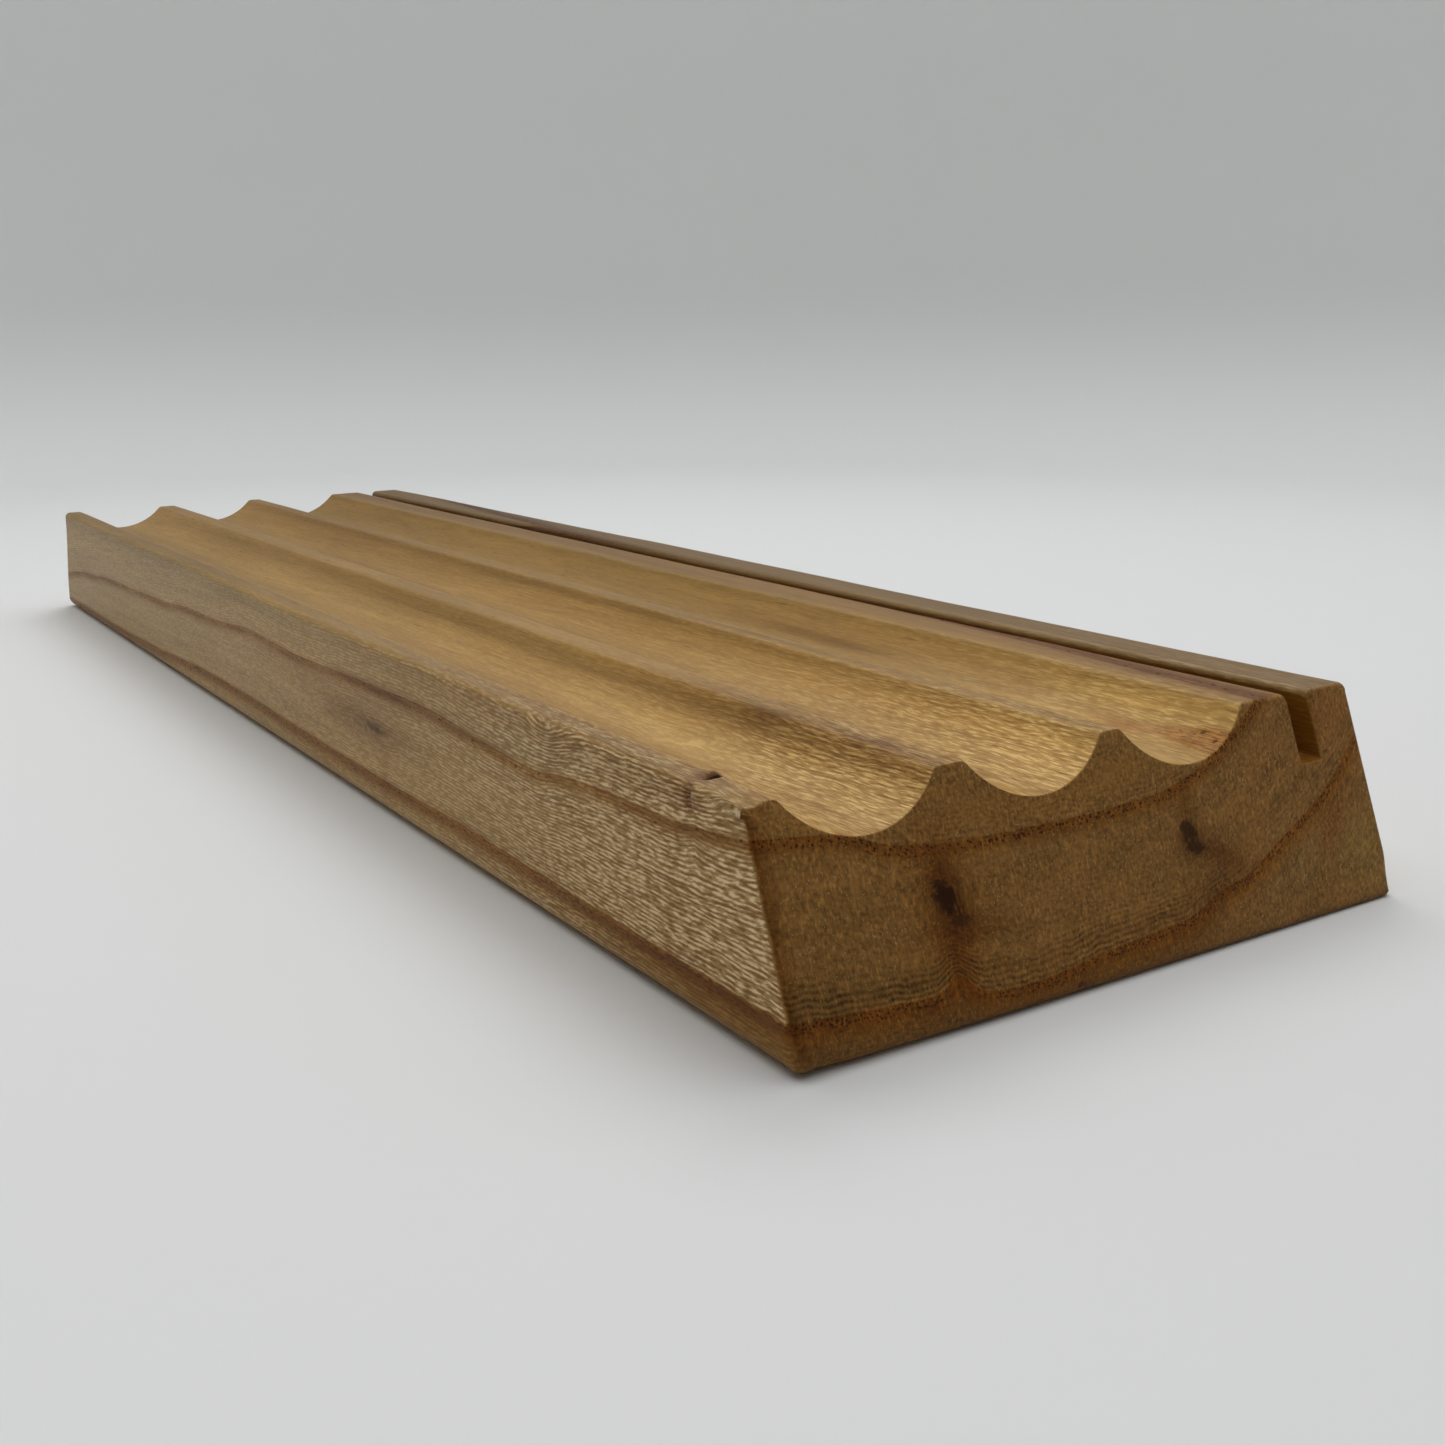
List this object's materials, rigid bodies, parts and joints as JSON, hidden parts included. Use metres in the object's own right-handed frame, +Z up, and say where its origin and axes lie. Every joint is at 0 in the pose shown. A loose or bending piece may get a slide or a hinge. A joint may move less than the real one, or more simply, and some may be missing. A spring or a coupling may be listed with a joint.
{
  "type": "wood edge slicker",
  "caption": "Long solid-wood block with rounded coves and a narrow kerf run along its top and both ends bevelled, for slicking edges on or cradling slim round tools.",
  "frame": {"origin": "centre of the underside, on the surface the block rests on", "axes": "+X along the block's length, +Y from the front side to the side with the kerf, +Z up out of the coves"},
  "size_m": [0.2572, 0.07, 0.0196],
  "materials": {
    "wood": "ring-porous golden-brown hardwood, sanded and oiled, satin"
  },
  "bodies": {
    "root": {"grooved_block": "wood"}
  },
  "joints": []
}
